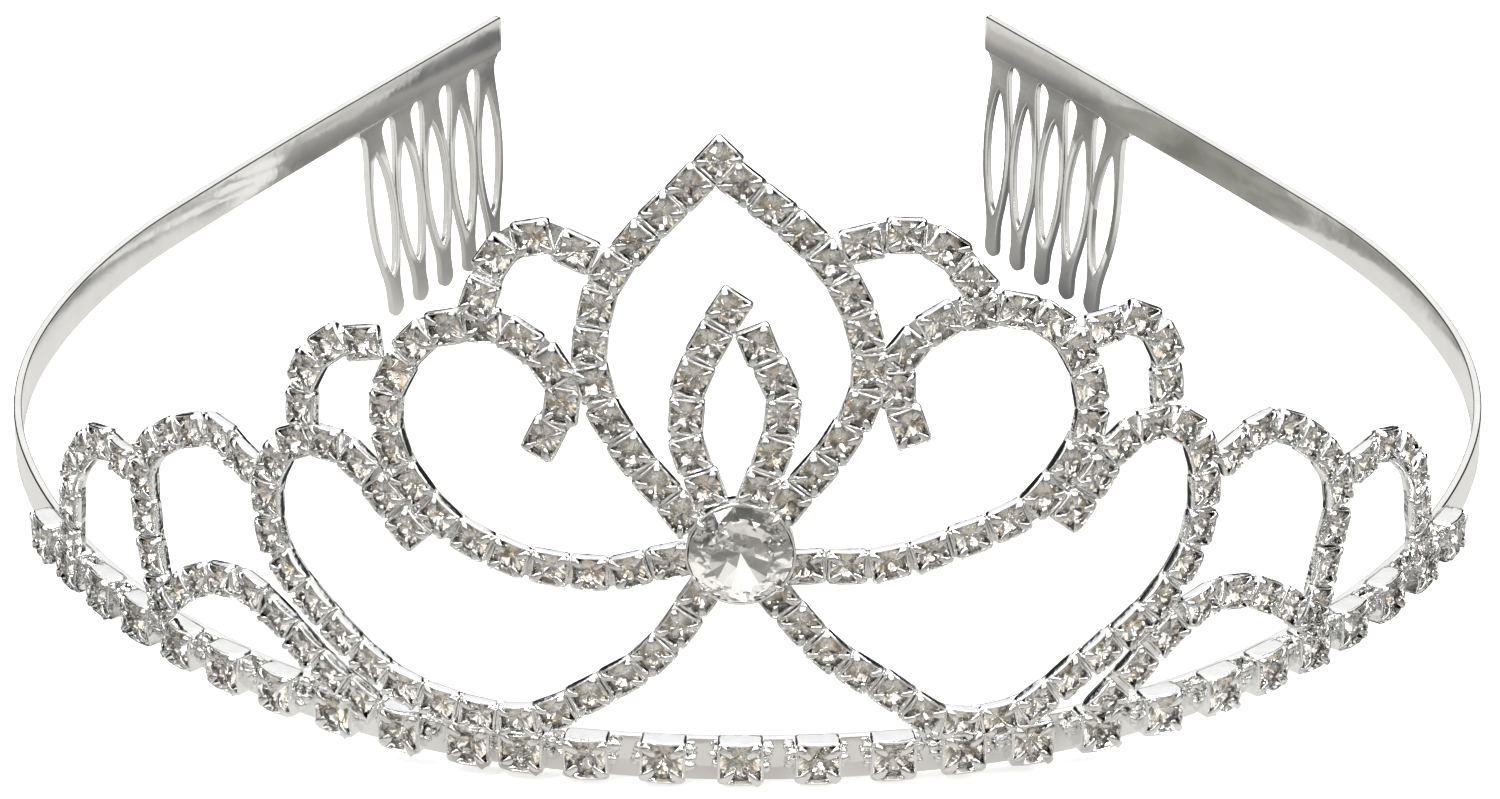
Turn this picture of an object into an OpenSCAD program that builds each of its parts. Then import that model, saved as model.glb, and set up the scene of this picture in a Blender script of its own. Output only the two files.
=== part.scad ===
// Mini tiara: a flat strip headband with a comb stamped out of each rear end,
// a row of large square cups soldered round its front, and scrollwork of small
// square cup chain with one large round stone in the middle.
// Millimetres. +Z is up, the front of the tiara faces -Y, the right side is +X.
// It stands as it would by itself: on the lower front edge of the strip and on
// the tips of the front tooth of each comb.

/* [Headband] */
// Height of the strip
strip_h = 4.2; // [3.8:0.1:5]
// Thickness of the strip
strip_t = 0.85; // [0.7:0.05:1.2]

/* [Combs] */
// Teeth in each comb
teeth = 5; // [3:1:5]
// Distance from tooth to tooth along the strip
tooth_pitch = 5.1; // [4.9:0.1:5.4]
// Length of a tooth below the strip
tooth_len = 24; // [20:0.5:28]
// Greatest width of a tooth
tooth_w = 4.6; // [4:0.1:4.7]
// Greatest width of the slot in a tooth
slot_w = 3.1; // [2:0.1:3.2]

/* [Base row] */
// Side of a large square cup
base_cup = 4.1; // [3.9:0.1:4.3]
// Depth of a large cup, from the strip to its lip
base_cup_d = 2.8; // [2.6:0.1:3]
// Diameter of a large stone
base_stone_d = 3.5; // [3.2:0.1:3.5]

/* [Scrollwork] */
// Side of a small square cup
cup = 3.2; // [2.9:0.1:3.3]
// Depth of a small cup
cup_d = 2.0; // [1.8:0.1:2.2]
// Radius on which the scrollwork leans back over the head
panel_r = 260; // [240:5:320]

/* [Centre stone] */
// Diameter of the centre stone
centre_d = 9.1; // [8.6:0.1:9.4]
// Where the stone's middle sits along the strip, measured from its front
centre_s = -1; // [-1.5:0.5:0.5]
// Height of the stone's middle above the strip's middle line
centre_t = 21; // [20.5:0.5:21.5]

/* [Hidden] */

SILVER = [0.86, 0.86, 0.87];
CRYSTAL = [0.93, 0.93, 0.91];
gap = 0.06;      // clearance between a stone and its cup

// Half of the headband, from the middle of its front to its rear end.
// Columns: length along the strip, bend radius (0 is straight).
BAND = [
    [20,  84],
    [25,  56],
    [50,  78],
    [25,  57],
    [30,  82],
    [31, 850],
    [26.5, 0],
];
band_len = 207.5;    // half of the strip, all of the rows above
band_step = 2.5;     // length of one facet of the bent strip
comb_lap = 0.02;     // the combs' plates stand this much proud of the strip

// The base row, from left to right. Columns: cups, distance from cup to cup.
BASE = [
    [5, 6.05],
    [4, 6.3],
    [1, 4.7],
    [1, 5.6],
    [4, 6.6],
    [2, 6.0],
    [3, 6.3],
    [3, 5.7],
    [1, 6.2],
    [3, 6.7],
];
base_first = -80;   // where the first cup sits along the strip
base_t = 0.6;       // height of the row above the strip's middle line
stub = 0.6;         // how far a link's stub stands out of a cup's side

// The scrolls. Columns: cups, how far the back of the chain stands off the
// leaning surface, then the points that the chain's middle runs through, each
// [distance along the strip, height above the strip's middle line].
SCROLLS = [
    // outer teardrop, left side up to the point, then right side down
    [12, 0.45, [[-6, 24.5], [-10.5, 30], [-13.5, 35.5], [-14, 40.5], [-12.5, 45.5], [-8.5, 50.5], [-3, 56]]],
    [11, 0.60, [[-1, 54], [5, 49], [8.5, 44], [10, 38.5], [9, 33.5], [5.5, 28.5], [3, 25.5]]],
    // inner teardrop, left side up, right side down
    [ 6, 0.75, [[-4, 27], [-5.5, 31], [-5.5, 35.5], [-4, 39.5], [-2, 43]]],
    [ 5, 0.90, [[0.5, 40], [2.5, 35.5], [2, 31], [0.5, 27]]],
    // C scrolls, left and right
    [18, 0.30, [[-7, 20], [-13, 18.5], [-20, 19], [-26.5, 21.5], [-31, 26], [-32.5, 31], [-31, 36],
                [-28, 39], [-22.5, 40], [-18, 37.5], [-16.5, 34], [-18, 30.5]]],
    [18, 0.35, [[4.5, 19.5], [11, 19.5], [18, 21], [24.5, 23.5], [29, 28.5], [30, 32.5], [28.5, 37.5],
                [24.5, 41], [18, 41.5], [13.5, 39], [12.5, 35.5], [13.5, 32]]],
    // small top loops, left and right
    [ 4, 0.65, [[-24, 42.5], [-22.5, 46.5], [-19, 48.5], [-15.5, 47.5]]],
    [ 4, 0.75, [[9.5, 48.5], [13.5, 49], [17, 47.5], [19.5, 44.5]]],
    // outer loops, left and right
    [ 4, 0.50, [[-35, 36.5], [-38.5, 35.5], [-41, 32], [-41, 29]]],
    [ 4, 0.50, [[31.5, 38.5], [35, 38.5], [37.5, 35.5], [37.5, 32]]],
    // long waves with their arches, left and right
    [22, 0.60, [[-4.5, 17], [-8, 11.5], [-13, 7.5], [-19, 4], [-26, 4], [-32.5, 6], [-38, 10],
                [-43, 14.5], [-44.5, 19.5], [-43, 24.5], [-39, 26.5], [-35, 25.5], [-30, 20.5]]],
    [22, 0.65, [[2, 17], [6, 12], [11, 8], [16.5, 4], [23, 4], [29, 7.5], [35.5, 11.5], [39.5, 16],
                [41, 21], [40.5, 26], [37.5, 28.5], [33, 28], [28, 22.5]]],
    // side loops, left and right
    [ 9, 0.45, [[-47.5, 22], [-51.5, 23.5], [-57, 21], [-60.5, 17.5], [-60.5, 12.5], [-58.5, 5]]],
    [ 9, 0.45, [[44.5, 23.5], [48.5, 24.5], [53, 22.5], [57, 18], [58, 14], [56.5, 9.5], [55, 5]]],
    // end arches, left and right
    [ 6, 0.60, [[-64, 16], [-68, 16], [-71, 13.5], [-73, 10], [-73.5, 3.5]]],
    [ 6, 0.60, [[61.5, 16.5], [65.5, 16.5], [69, 14], [71, 10.5], [72, 3.5]]],
    // lower arches, left and right
    [ 9, 0.75, [[-57.5, 4], [-53.5, 8], [-48.5, 10], [-44, 9], [-39, 5.5], [-34.5, 3]]],
    [ 8, 0.75, [[54, 4], [48, 8.5], [43, 10.5], [38.5, 9.5], [34.5, 6.5], [31, 3.5]]],
];

panel_out = 0.6;     // the leaning surface stands this far in front of the strip's middle
panel_drop = 0.15;   // and the scrolls sit this much lower on it
ring_step = 4.4;     // distance between the rings of a chain's tube
cup_bevel = 0.5;     // corner taken off the tube's section

// ---- the strip's plan: position and heading at a distance along it ----
function step_to(p, l, r) =
    r == 0 ? [p[0] + l * cos(p[2]), p[1] + l * sin(p[2]), p[2]]
           : let (h = p[2] + l / r * 180 / PI)
             [p[0] + r * (sin(h) - sin(p[2])), p[1] - r * (cos(h) - cos(p[2])), h];
function band_at(s, i = 0, p = [0, 0, 0]) =
    i == len(BAND) - 1 || s <= BAND[i][0]
        ? step_to(p, s, BAND[i][1])
        : band_at(s - BAND[i][0], i + 1, step_to(p, BAND[i][0], BAND[i][1]));

// ---- the leaning surface that carries the scrolls ----
// s along the strip, t up the surface, n out of it
function lean(t) = max(t, 0) / panel_r * 180 / PI;
function surf(s, t, n) =
    let (b = band_at(abs(s)), g = s < 0 ? -1 : 1, a = lean(t),
         o = n * cos(a) - panel_r * (1 - cos(a)),
         z = (t < 0 ? t : panel_r * sin(a)) + n * sin(a))
    [g * (b[0] + o * sin(b[2])), b[1] - o * cos(b[2]), z];
function surf_n(s, t) =
    let (b = band_at(abs(s)), g = s < 0 ? -1 : 1, a = lean(t))
    [g * cos(a) * sin(b[2]), -cos(a) * cos(b[2]), sin(a)];
function unit(v) = v / norm(v);

// ---- a smooth line through the points of a scroll ----
function spline(p0, p1, p2, p3, u) =
    0.5 * (2 * p1 + (p2 - p0) * u + (2 * p0 - 5 * p1 + 4 * p2 - p3) * u * u
           + (3 * p1 - p0 - 3 * p2 + p3) * u * u * u);
function smooth(p, k = 8) =
    let (n = len(p))
    concat([for (i = [0:n - 2], j = [0:k - 1])
               spline(i == 0 ? 2 * p[0] - p[1] : p[i - 1], p[i], p[i + 1],
                      i == n - 2 ? 2 * p[n - 1] - p[n - 2] : p[i + 2], j / k)],
           [p[n - 1]]);
function stretched(f, e) =
    let (n = len(f))
    concat([f[0] - e * unit(f[1] - f[0])], f, [f[n - 1] + e * unit(f[n - 1] - f[n - 2])]);
function lengths(f) = [for (i = 0, a = 0; i < len(f); a = a + (i < len(f) - 1 ? norm(f[i + 1] - f[i]) : 0), i = i + 1) a];
function along(f, c, d) =
    [lookup(d, [for (i = [0:len(f) - 1]) [c[i], f[i][0]]]),
     lookup(d, [for (i = [0:len(f) - 1]) [c[i], f[i][1]]])];

// ---- where the tiara rests ----
comb_s = 181.5;                    // where the comb's flat plate begins
tooth_first = 2.6;                 // from there to the first tooth's middle
tooth_lean = 9.5;                  // lean of the first tooth towards the rear
tooth_fan = 1.6;                   // how much less each next tooth leans
tip_r = 1.3;
comb_at = band_at(comb_s);
tip_s = tooth_first + (tooth_len - tip_r) * sin(tooth_lean);
tip_y = comb_at[1] + tip_s * sin(comb_at[2]);
tip_z = -strip_h / 2 - (tooth_len - tip_r) * cos(tooth_lean);
// lowest point of the strip's front edge, and of the first tooth's round tip, at a tilt
function front_low(a) = -strip_h / 2 * cos(a) - strip_t / 2 * sin(a);
function tip_low(a) =
    tip_y * sin(a) + tip_z * cos(a)
    - tip_r * norm([sin(comb_at[2]) * sin(a), cos(a)])
    - (strip_t / 2 + comb_lap) * abs(cos(comb_at[2])) * sin(a);
// halves the range until both touch the ground
function settle(lo, hi, k = 30) =
    let (a = (lo + hi) / 2)
    k == 0 ? a : tip_low(a) < front_low(a) ? settle(a, hi, k - 1) : settle(lo, a, k - 1);
rest_tilt = settle(0, 30);
rest_z = -front_low(rest_tilt);
rest_y = -75.03;                   // puts the origin under the middle of the outline

module at_rest() translate([0, rest_y, rest_z]) rotate([rest_tilt, 0, 0]) children();

// places a child on the surface: its Z out, its Y up the surface
module on_surface(s, t, n) {
    b = band_at(abs(s));
    g = s < 0 ? -1 : 1;
    translate(surf(s, t, n)) rotate([0, 0, g * b[2]]) rotate([90 - lean(t), 0, 0]) children();
}

// ---- headband ----
// the strip's outline from above, in short straight facets
stations = concat([for (s = [0:band_step:comb_s + 2]) s]);
function edge(s, side, n) = let (b = band_at(s)) [side * (b[0] + n * sin(b[2])), b[1] - n * cos(b[2])];
module strip() {
    k = len(stations);
    outer = concat([for (i = [k - 1:-1:1]) edge(stations[i], -1, strip_t / 2)],
                   [for (i = [0:k - 1]) edge(stations[i], 1, strip_t / 2)]);
    inner = concat([for (i = [k - 1:-1:0]) edge(stations[i], 1, -strip_t / 2)],
                   [for (i = [1:k - 1]) edge(stations[i], -1, -strip_t / 2)]);
    translate([0, 0, -strip_h / 2]) linear_extrude(strip_h) polygon(concat(outer, inner));
}

// one tooth, pointing down from its root at the strip's lower edge
module tooth_shape() {
    half = tooth_w / 2;
    neck = half - 0.85;
    mid = 0.47 * tooth_len;
    r = (mid * mid + (half - neck) * (half - neck)) / (2 * (half - neck));
    slot_half = 0.32 * tooth_len;
    rs = (slot_half * slot_half + slot_w * slot_w / 4) / slot_w;
    difference() {
        union() {
            intersection() {
                translate([r - half, -mid]) circle(r = r, $fn = 96);
                translate([half - r, -mid]) circle(r = r, $fn = 96);
                translate([-half, -(tooth_len - tip_r)]) square([2 * half, tooth_len - tip_r + 0.6]);
            }
            translate([0, -(tooth_len - tip_r)]) circle(r = tip_r, $fn = 32);
        }
        intersection() {
            translate([rs - slot_w / 2, -mid + 0.1]) circle(r = rs, $fn = 96);
            translate([slot_w / 2 - rs, -mid + 0.1]) circle(r = rs, $fn = 96);
        }
    }
}

// the flat rear end of the strip with its comb; x runs to the rear, y is up
module comb_shape() {
    l = band_len - comb_s;
    h = strip_h + 2 * comb_lap;
    last = tooth_first + (teeth - 1) * tooth_pitch;
    difference() {
        translate([0, -h / 2]) square([l, h]);
        // corners of the end
        translate([l, -strip_h / 2]) rotate([0, 0, 45]) square([1.5, 1.5], center = true);
        translate([l, strip_h / 2]) rotate([0, 0, 45]) square([0.8, 0.8], center = true);
    }
    // web at the roots of the teeth, with a round-topped gap between each pair
    difference() {
        translate([tooth_first - 1.4, -strip_h / 2 - 1.5]) square([last - tooth_first + 2.8, 2]);
        for (i = [0:teeth - 2]) translate([tooth_first + (i + 0.5) * tooth_pitch + 0.1, -strip_h / 2 - 1.6]) {
            circle(r = 1.0, $fn = 32);
            translate([-1.0, -1]) square([2.0, 1]);
        }
    }
    for (i = [0:teeth - 1])
        translate([tooth_first + i * tooth_pitch, -strip_h / 2])
            rotate([0, 0, tooth_lean - i * tooth_fan]) tooth_shape();
}

module comb() {
    translate([comb_at[0], comb_at[1], 0]) rotate([0, 0, comb_at[2]])
        rotate([90, 0, 0]) translate([0, 0, -strip_t / 2 - comb_lap])
            linear_extrude(strip_t + 2 * comb_lap) comb_shape();
}

module headband() {
    color(SILVER) {
        strip();
        comb();
        mirror([1, 0, 0]) comb();
    }
}

// ---- base row ----
function run_start(i) = i == 0 ? base_first : run_start(i - 1) + BASE[i - 1][0] * BASE[i - 1][1];
BASE_S = [for (i = [0:len(BASE) - 1], j = [0:BASE[i][0] - 1]) run_start(i) + j * BASE[i][1]];
base_seat = strip_t / 2 + base_cup_d - 1.35;     // floor of the pocket

module base_cup_at(s) {
    on_surface(s, base_t, 0)
        translate([-base_cup / 2, -base_cup / 2, strip_t / 2 - 0.2])
            cube([base_cup, base_cup, base_cup_d + 0.2]);
}

// the hollow of a large cup, cut through whatever scroll is soldered over its edge
module base_pocket_at(s) {
    on_surface(s, base_t, base_seat) cylinder(d = base_stone_d + 2 * gap, h = 3, $fn = 48);
}

module base_row() {
    color(SILVER) {
        for (s = BASE_S) base_cup_at(s);
        // stubs of the links that the cups were cut from
        for (s = BASE_S) on_surface(s, base_t, strip_t / 2 + 0.8)
            cube([base_cup + 2 * stub, 1.0, 0.9], center = true);
    }
}

module base_stone(i) {
    s = BASE_S[i];
    r = base_stone_d / 2;
    color(CRYSTAL) at_rest() on_surface(s, base_t, base_seat + gap) {
        cylinder(r1 = 0.35 * r, r2 = r, h = 0.8, $fn = 48);
        translate([0, 0, 0.8]) cylinder(r = r, h = 0.2, $fn = 48);
        translate([0, 0, 1.0]) cylinder(r1 = r, r2 = 0.62 * r, h = 0.55, $fn = 48);
    }
}

// ---- scrollwork ----
function on_panel(q, n) = surf(q[0], q[1] - panel_drop, panel_out + n);
// one tube along the scroll's route, eight-sided, with a ring every few millimetres
module scroll(row) {
    f = stretched(smooth(row[2]), cup / 2);
    c = lengths(f);
    l = c[len(c) - 1];
    m = round(l / ring_step);
    w = cup / 2;
    e = cup_bevel;
    section = [[-w, e], [-w + e, 0], [w - e, 0], [w, e], [w, cup_d - e], [w - e, cup_d], [-w + e, cup_d], [-w, cup_d - e]];
    rings = [for (k = [0:m])
        let (d = l * k / m,
             q = along(f, c, d),
             qa = along(f, c, max(0, d - 0.4)), qb = along(f, c, min(l, d + 0.4)),
             o = on_panel(q, row[1]),
             dir = unit(on_panel(qb, row[1]) - on_panel(qa, row[1])),
             up = surf_n(q[0], q[1] - panel_drop),
             side = unit(cross(up, dir)))
        [for (v = section) o + side * v[0] + unit(cross(dir, side)) * v[1]]];
    n = len(section);
    polyhedron(points = [for (r = rings) each r],
               faces = concat(
                   [[for (j = [0:n - 1]) j]],
                   [for (k = [0:m - 1], j = [0:n - 1])
                       let (a = k * n + j, b = k * n + (j + 1) % n) [a, a + n, b + n, b]],
                   [[for (j = [n - 1:-1:0]) m * n + j]]));
}

module scrollwork() {
    color(SILVER) for (row = SCROLLS) scroll(row);
}

// ---- centre setting and stone ----
centre_seat = 1.9;
module centre_setting() {
    r = centre_d / 2 + 0.3;
    color(SILVER) on_surface(centre_s, centre_t, 0) {
        translate([0, 0, 0.5]) cylinder(r = r, h = 2.5, $fn = 72);
        for (a = [45:90:315]) rotate([0, 0, a]) translate([centre_d / 2 + gap, -0.45, 1.5])
            cube([0.5, 0.9, 2.0]);
    }
}

module centre_pocket() {
    on_surface(centre_s, centre_t, centre_seat) cylinder(d = centre_d + 2 * gap, h = 3, $fn = 72);
}

module centre_stone() {
    r = centre_d / 2;
    color(CRYSTAL) at_rest() on_surface(centre_s, centre_t, centre_seat + gap) {
        cylinder(r1 = 0.75 * r, r2 = r, h = 0.9, $fn = 72);
        translate([0, 0, 0.9]) cylinder(r = r, h = 0.25, $fn = 72);
        translate([0, 0, 1.15]) cylinder(r1 = r, r2 = 0.6 * r, h = 1.35, $fn = 72);
    }
}

// all of the metal is soldered into one piece, and no metal stands in a stone's pocket
module tiara_frame() {
    color(SILVER) at_rest() difference() {
        union() {
            headband();
            base_row();
            scrollwork();
            centre_setting();
        }
        for (s = BASE_S) base_pocket_at(s);
        centre_pocket();
    }
}

tiara_frame();
centre_stone();
base_stone(0);  // base_stone_01
base_stone(1);  // base_stone_02
base_stone(2);  // base_stone_03
base_stone(3);  // base_stone_04
base_stone(4);  // base_stone_05
base_stone(5);  // base_stone_06
base_stone(6);  // base_stone_07
base_stone(7);  // base_stone_08
base_stone(8);  // base_stone_09
base_stone(9);  // base_stone_10
base_stone(10);  // base_stone_11
base_stone(11);  // base_stone_12
base_stone(12);  // base_stone_13
base_stone(13);  // base_stone_14
base_stone(14);  // base_stone_15
base_stone(15);  // base_stone_16
base_stone(16);  // base_stone_17
base_stone(17);  // base_stone_18
base_stone(18);  // base_stone_19
base_stone(19);  // base_stone_20
base_stone(20);  // base_stone_21
base_stone(21);  // base_stone_22
base_stone(22);  // base_stone_23
base_stone(23);  // base_stone_24
base_stone(24);  // base_stone_25
base_stone(25);  // base_stone_26
base_stone(26);  // base_stone_27
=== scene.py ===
import math
import random

import bmesh
import bpy
import numpy as np
from mathutils import Matrix, Vector


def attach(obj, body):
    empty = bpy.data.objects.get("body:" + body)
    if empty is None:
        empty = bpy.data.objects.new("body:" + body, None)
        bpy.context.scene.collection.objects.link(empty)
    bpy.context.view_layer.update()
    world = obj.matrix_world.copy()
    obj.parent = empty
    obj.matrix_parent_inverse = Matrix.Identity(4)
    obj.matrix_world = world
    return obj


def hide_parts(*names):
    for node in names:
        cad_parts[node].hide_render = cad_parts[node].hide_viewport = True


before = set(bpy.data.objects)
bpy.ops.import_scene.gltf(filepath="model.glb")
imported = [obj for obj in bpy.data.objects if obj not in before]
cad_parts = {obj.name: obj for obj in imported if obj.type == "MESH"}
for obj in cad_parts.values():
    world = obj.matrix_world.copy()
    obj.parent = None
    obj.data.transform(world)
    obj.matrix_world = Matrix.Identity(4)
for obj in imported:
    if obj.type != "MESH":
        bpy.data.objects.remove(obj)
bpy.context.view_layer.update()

MM = 0.001
rng = random.Random(11)

# ---------------------------------------------------------------------------
# The design's own measures, the same as the solid model's, in millimetres
# ---------------------------------------------------------------------------
STRIP_H, STRIP_T = 4.2, 0.85
CUP, CUP_D = 3.2, 2.0
BASE_CUP, BASE_CUP_D = 4.1, 3.1
PANEL_R, PANEL_OUT, PANEL_DROP = 260.0, 0.6, 0.15
COMB_S, BAND_LEN = 181.5, 207.5
TEETH, TOOTH_PITCH, TOOTH_LEN = 5, 5.1, 24.0
TOOTH_FIRST, TOOTH_LEAN, TOOTH_FAN = 2.6, 9.5, 1.6
CENTRE_S, CENTRE_T, CENTRE_D = -1.0, 21.0, 9.1
REST_TILT, REST_Y, REST_Z = 9.65977, -75.03, 2.14154

# half of the strip: length, bend radius (0 is straight)
BAND = [(20, 84), (25, 56), (50, 78), (25, 57), (30, 82), (31, 850), (26.5, 0)]
# base row: cups, pitch
BASE = [(5, 6.05), (4, 6.3), (1, 4.7), (1, 5.6), (4, 6.6), (2, 6.0), (3, 6.3), (3, 5.7), (1, 6.2), (3, 6.7)]
BASE_FIRST, BASE_T = -80.0, 0.6
# scrolls: cups, stand-off, route
SCROLLS = [
    (12, 0.45, [(-6, 24.5), (-10.5, 30), (-13.5, 35.5), (-14, 40.5), (-12.5, 45.5), (-8.5, 50.5), (-3, 56)]),
    (11, 0.60, [(-1, 54), (5, 49), (8.5, 44), (10, 38.5), (9, 33.5), (5.5, 28.5), (3, 25.5)]),
    (6, 0.75, [(-4, 27), (-5.5, 31), (-5.5, 35.5), (-4, 39.5), (-2, 43)]),
    (5, 0.90, [(0.5, 40), (2.5, 35.5), (2, 31), (0.5, 27)]),
    (18, 0.30, [(-7, 20), (-13, 18.5), (-20, 19), (-26.5, 21.5), (-31, 26), (-32.5, 31), (-31, 36),
                (-28, 39), (-22.5, 40), (-18, 37.5), (-16.5, 34), (-18, 30.5)]),
    (18, 0.35, [(4.5, 19.5), (11, 19.5), (18, 21), (24.5, 23.5), (29, 28.5), (30, 32.5), (28.5, 37.5),
                (24.5, 41), (18, 41.5), (13.5, 39), (12.5, 35.5), (13.5, 32)]),
    (4, 0.65, [(-24, 42.5), (-22.5, 46.5), (-19, 48.5), (-15.5, 47.5)]),
    (4, 0.75, [(9.5, 48.5), (13.5, 49), (17, 47.5), (19.5, 44.5)]),
    (4, 0.50, [(-35, 36.5), (-38.5, 35.5), (-41, 32), (-41, 29)]),
    (4, 0.50, [(31.5, 38.5), (35, 38.5), (37.5, 35.5), (37.5, 32)]),
    (22, 0.60, [(-4.5, 17), (-8, 11.5), (-13, 7.5), (-19, 4), (-26, 4), (-32.5, 6), (-38, 10),
                (-43, 14.5), (-44.5, 19.5), (-43, 24.5), (-39, 26.5), (-35, 25.5), (-30, 20.5)]),
    (22, 0.65, [(2, 17), (6, 12), (11, 8), (16.5, 4), (23, 4), (29, 7.5), (35.5, 11.5), (39.5, 16),
                (41, 21), (40.5, 26), (37.5, 28.5), (33, 28), (28, 22.5)]),
    (9, 0.45, [(-47.5, 22), (-51.5, 23.5), (-57, 21), (-60.5, 17.5), (-60.5, 12.5), (-58.5, 5)]),
    (9, 0.45, [(44.5, 23.5), (48.5, 24.5), (53, 22.5), (57, 18), (58, 14), (56.5, 9.5), (55, 5)]),
    (6, 0.60, [(-64, 16), (-68, 16), (-71, 13.5), (-73, 10), (-73.5, 3.5)]),
    (6, 0.60, [(61.5, 16.5), (65.5, 16.5), (69, 14), (71, 10.5), (72, 3.5)]),
    (9, 0.75, [(-57.5, 4), (-53.5, 8), (-48.5, 10), (-44, 9), (-39, 5.5), (-34.5, 3)]),
    (8, 0.75, [(54, 4), (48, 8.5), (43, 10.5), (38.5, 9.5), (34.5, 6.5), (31, 3.5)]),
]


def step_to(p, l, r):
    if r == 0:
        return (p[0] + l * math.cos(p[2]), p[1] + l * math.sin(p[2]), p[2])
    h = p[2] + l / r
    return (p[0] + r * (math.sin(h) - math.sin(p[2])), p[1] - r * (math.cos(h) - math.cos(p[2])), h)


def band_at(s):
    p = (0.0, 0.0, 0.0)
    for i, (l, r) in enumerate(BAND):
        if i == len(BAND) - 1 or s <= l:
            return step_to(p, s, r)
        p = step_to(p, l, r)
        s -= l


def surf(s, t, n):
    x, y, h = band_at(abs(s))
    g = -1.0 if s < 0 else 1.0
    a = max(t, 0.0) / PANEL_R
    o = n * math.cos(a) - PANEL_R * (1 - math.cos(a))
    z = (t if t < 0 else PANEL_R * math.sin(a)) + n * math.sin(a)
    return np.array([g * (x + o * math.sin(h)), y - o * math.cos(h), z])


def surf_n(s, t):
    x, y, h = band_at(abs(s))
    g = -1.0 if s < 0 else 1.0
    a = max(t, 0.0) / PANEL_R
    return np.array([g * math.cos(a) * math.sin(h), -math.cos(a) * math.cos(h), math.sin(a)])


_c, _s = math.cos(math.radians(REST_TILT)), math.sin(math.radians(REST_TILT))
REST = np.array([[1, 0, 0], [0, _c, -_s], [0, _s, _c]])
REST_AT = np.array([0, REST_Y, REST_Z])


def at_rest(p):
    return np.asarray(p) @ REST.T + REST_AT


def unit(v):
    return v / np.linalg.norm(v)


def spline(p, k=24):
    """the smooth line through a scroll's points"""
    p = [np.array(v, float) for v in p]
    out = []
    for i in range(len(p) - 1):
        a = 2 * p[0] - p[1] if i == 0 else p[i - 1]
        d = 2 * p[-1] - p[-2] if i == len(p) - 2 else p[i + 2]
        b, c = p[i], p[i + 1]
        for j in range(k):
            u = j / k
            out.append(0.5 * (2 * b + (c - a) * u + (2 * a - 5 * b + 4 * c - d) * u * u
                              + (3 * b - a - 3 * c + d) * u ** 3))
    out.append(p[-1])
    return np.array(out)


# ---------------------------------------------------------------------------
# Joined meshes from arrays
# ---------------------------------------------------------------------------
class Pile:
    """many copies of small shapes, kept as one mesh"""

    def __init__(self):
        self.v, self.f, self.m, self.sm, self.n = [], [], [], [], 0

    def add(self, verts, faces, mats=0, smooth=True):
        verts = np.asarray(verts, float)
        self.v.append(verts)
        n = self.n
        self.f += [tuple(i + n for i in f) for f in faces]
        self.m += [mats] * len(faces) if isinstance(mats, int) else list(mats)
        self.sm += [smooth] * len(faces)
        self.n += len(verts)

    def build(self, name, materials, slot):
        mesh = bpy.data.meshes.new(name)
        v = at_rest(np.concatenate(self.v)) * MM
        mesh.from_pydata(v.tolist(), [], self.f)
        mesh.polygons.foreach_set("material_index", self.m)
        mesh.polygons.foreach_set("use_smooth", self.sm)
        for m in materials:
            mesh.materials.append(m)
        mesh.update()
        ob = bpy.data.objects.new(name, mesh)
        bpy.context.scene.collection.objects.link(ob)
        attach(ob, "root")
        return ob


def rounded_square(a, rc, sides=3, arc=3):
    """points round a square of half side a, anticlockwise, with each point's place along its side"""
    pts, place = [], []
    for q in range(4):
        ang = math.radians(90 * q)
        c, s = math.cos(ang), math.sin(ang)
        loc = []
        for j in range(1, sides + 1):
            y = (-a + rc) + (2 * a - 2 * rc) * j / (sides + 1)
            loc.append((a, y, y / (a - rc)))
        for j in range(arc + 1):
            w = math.radians(90 * j / arc)
            loc.append((a - rc + rc * math.cos(w), a - rc + rc * math.sin(w), 1.0))
        for x, y, u in loc:
            pts.append((x * c - y * s, x * s + y * c))
            place.append(abs(u))
    return np.array(pts), np.array(place)


def loft(rings, close_start=True, close_end=True):
    """faces that join rings of equal length; outward when the rings run anticlockwise and rise"""
    k = len(rings[0])
    verts = np.concatenate(rings)
    faces = []
    for i in range(len(rings) - 1):
        for j in range(k):
            a, b = i * k + j, i * k + (j + 1) % k
            faces.append((a, b, b + k, a + k))
    if close_start:
        faces.append(tuple(range(k - 1, -1, -1)))
    if close_end:
        faces.append(tuple(range((len(rings) - 1) * k, len(rings) * k)))
    return verts, faces


def tube(path, radii, sides=6, flat=1.0, up=(0, 0, 1)):
    """a rounded bar along a path"""
    path = [np.array(p, float) for p in path]
    rings = []
    for i, p in enumerate(path):
        d = unit(path[min(i + 1, len(path) - 1)] - path[max(i - 1, 0)])
        a = np.cross(d, np.array(up, float))
        if np.linalg.norm(a) < 1e-3:
            a = np.cross(d, np.array([1.0, 0, 0]))
        a = unit(a)
        b = np.cross(a, d)
        rings.append(np.array([p + radii[i] * (math.cos(w) * a * flat + math.sin(w) * b)
                               for w in np.arange(sides) * 2 * math.pi / sides]))
    # rounded ends
    d0, d1 = unit(path[0] - path[1]), unit(path[-1] - path[-2])
    first = path[0] + (rings[0] - path[0]) * 0.55 + d0 * radii[0] * 0.6
    last = path[-1] + (rings[-1] - path[-1]) * 0.6 + d1 * radii[-1] * 0.65
    rings = [first] + rings + [last]
    v, f = loft(rings)
    # turn the faces outward if the loft came out inside out
    c = v.mean(0)
    q = f[len(f) // 2]
    nrm = np.cross(v[q[1]] - v[q[0]], v[q[2]] - v[q[0]])
    mid = rings[len(rings) // 2].mean(0)
    if np.dot(nrm, v[list(q)].mean(0) - mid) < 0:
        f = [tuple(reversed(x)) for x in f]
    return v, f


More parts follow.
